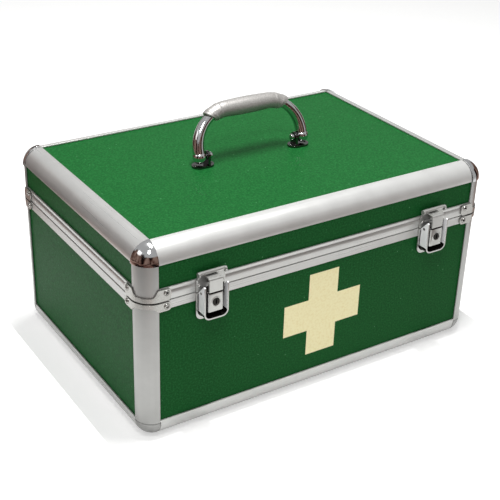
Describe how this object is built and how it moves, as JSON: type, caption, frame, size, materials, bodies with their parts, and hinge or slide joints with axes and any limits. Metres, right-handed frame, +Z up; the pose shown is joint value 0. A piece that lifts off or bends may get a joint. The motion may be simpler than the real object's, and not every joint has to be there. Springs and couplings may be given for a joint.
{
  "type": "first aid case",
  "caption": "Aluminium-framed first aid case with green laminate panels, a lid on a long rear hinge, key-lock draw latches on the front and a folding carrying handle.",
  "frame": {"origin": "middle of the whole object's box on the surface that the case stands on", "axes": "+X to the right along the front, -Y is the front with the latches, +Z up"},
  "size_m": [0.3544, 0.2605, 0.2289],
  "materials": {
    "laminate": "green melamine laminate on thin board, fine mottled grain",
    "rail_aluminium": "satin anodised extrusion",
    "chrome": "polished chrome plate",
    "grip": "silver-grey moulded plastic, lightly textured"
  },
  "bodies": {
    "case": {"case_front_panel": "laminate", "case_back_panel": "laminate", "case_left_panel": "laminate", "case_right_panel": "laminate", "case_bottom_panel": "laminate", "bottom_rail_front": "rail_aluminium", "bottom_rail_back": "rail_aluminium", "bottom_rail_left": "rail_aluminium", "bottom_rail_right": "rail_aluminium", "bottom_corner_front_left": "rail_aluminium", "bottom_corner_front_right": "rail_aluminium", "bottom_corner_back_left": "rail_aluminium", "bottom_corner_back_right": "rail_aluminium", "case_post_front_left": "rail_aluminium", "case_post_front_right": "rail_aluminium", "case_post_back_left": "rail_aluminium", "case_post_back_right": "rail_aluminium", "case_closing_frame": "rail_aluminium", "case_clamp_front_left": "chrome", "case_clamp_front_right": "chrome", "case_clamp_back_left": "chrome", "case_clamp_back_right": "chrome", "latch_base_left": "chrome", "latch_base_right": "chrome", "hinge_case_leaf": "chrome"},
    "lid": {"lid_top_panel": "laminate", "lid_front_panel": "laminate", "lid_back_panel": "laminate", "lid_left_panel": "laminate", "lid_right_panel": "laminate", "top_rail_front": "rail_aluminium", "top_rail_back": "rail_aluminium", "top_rail_left": "rail_aluminium", "top_rail_right": "rail_aluminium", "ball_corner_front_left": "chrome", "ball_corner_front_right": "chrome", "ball_corner_back_left": "chrome", "ball_corner_back_right": "chrome", "lid_post_front_left": "rail_aluminium", "lid_post_front_right": "rail_aluminium", "lid_post_back_left": "rail_aluminium", "lid_post_back_right": "rail_aluminium", "lid_closing_frame": "rail_aluminium", "lid_clamp_front_left": "chrome", "lid_clamp_front_right": "chrome", "lid_clamp_back_left": "chrome", "lid_clamp_back_right": "chrome", "latch_striker_left": "chrome", "latch_striker_right": "chrome", "handle_foot_left": "chrome", "handle_foot_right": "chrome", "hinge_lid_leaf": "chrome"},
    "handle": {"handle_bow": "chrome", "handle_grip": "grip"},
    "lever_left": {"latch_lever_left": "chrome"},
    "claw_left": {"latch_claw_left": "chrome"},
    "cylinder_left": {"lock_cylinder_left": "chrome"},
    "lever_right": {"latch_lever_right": "chrome"},
    "claw_right": {"latch_claw_right": "chrome"},
    "cylinder_right": {"lock_cylinder_right": "chrome"}
  },
  "joints": [
    {"name": "lid_hinge", "type": "hinge", "parent": "case", "child": "lid", "pos_m": [0, 0.1232, 0.1305], "axis": [-1, 0, 0], "range_deg": [0, 100]},
    {"name": "handle_fold", "type": "hinge", "parent": "lid", "child": "handle", "pos_m": [0, 0, 0.1855], "axis": [-1, 0, 0], "range_deg": [-109, 73]},
    {"name": "latch_lever_left", "type": "hinge", "parent": "case", "child": "lever_left", "pos_m": [-0.114, -0.125, 0.131], "axis": [-1, 0, 0], "range_deg": [0, 90]},
    {"name": "latch_claw_left", "type": "hinge", "parent": "lever_left", "child": "claw_left", "pos_m": [-0.114, -0.124, 0.1245], "axis": [-1, 0, 0], "range_deg": [-90, 0]},
    {"name": "lock_left", "type": "hinge", "parent": "lever_left", "child": "cylinder_left", "pos_m": [-0.114, -0.127, 0.1234], "axis": [0, -1, 0], "range_deg": [0, 90]},
    {"name": "latch_lever_right", "type": "hinge", "parent": "case", "child": "lever_right", "pos_m": [0.114, -0.125, 0.131], "axis": [-1, 0, 0], "range_deg": [0, 90]},
    {"name": "latch_claw_right", "type": "hinge", "parent": "lever_right", "child": "claw_right", "pos_m": [0.114, -0.124, 0.1245], "axis": [-1, 0, 0], "range_deg": [-90, 0]},
    {"name": "lock_right", "type": "hinge", "parent": "lever_right", "child": "cylinder_right", "pos_m": [0.114, -0.127, 0.1234], "axis": [0, -1, 0], "range_deg": [0, 90]}
  ],
  "couplings": [
    {"joint": "latch_claw_left", "follows": "latch_lever_left", "ratio": -1},
    {"joint": "latch_claw_right", "follows": "latch_lever_right", "ratio": -1}
  ]
}
